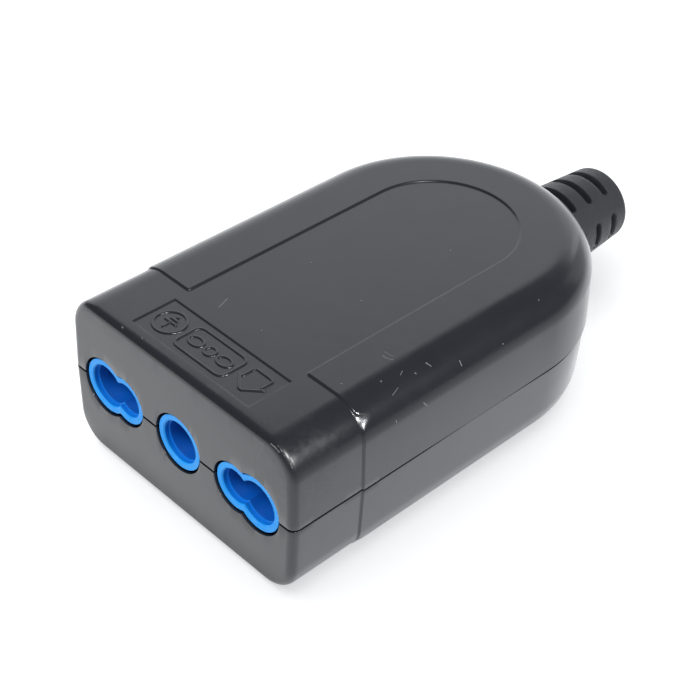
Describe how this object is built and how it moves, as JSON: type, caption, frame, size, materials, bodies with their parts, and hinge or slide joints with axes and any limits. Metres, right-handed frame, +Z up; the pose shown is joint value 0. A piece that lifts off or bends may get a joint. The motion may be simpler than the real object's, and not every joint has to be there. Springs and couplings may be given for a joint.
{
  "type": "rewireable trailing socket",
  "caption": "Inline mains socket with a split, round-ended body, pole holes that take either pin pitch, an earth hole between them and a slotted strain relief for the cord.",
  "frame": {"origin": "middle of the footprint, on the surface that the lower shell rests on", "axes": "+Z up through the rating plate, -Y out of the socket face, +Y along the cord, X across the pin holes"},
  "size_m": [0.0384, 0.0738, 0.0216],
  "materials": {
    "shell_plastic": "semi-gloss moulded",
    "socket_plastic": "satin moulded",
    "contact_brass": "bright strip",
    "terminal_brass": "machined",
    "screw_steel": "zinc plated",
    "clamp_plastic": "moulded",
    "relief_plastic": "matte flexible"
  },
  "bodies": {
    "root": {"upper_shell": "shell_plastic", "lower_shell": "shell_plastic", "socket_block": "socket_plastic", "left_contact": "contact_brass", "right_contact": "contact_brass", "earth_contact": "contact_brass", "left_terminal": "terminal_brass", "right_terminal": "terminal_brass", "earth_terminal": "terminal_brass", "terminal_screws": "screw_steel", "cable_clamp": "clamp_plastic", "clamp_screws": "screw_steel", "case_screws": "screw_steel", "strain_relief": "relief_plastic"}
  },
  "joints": []
}
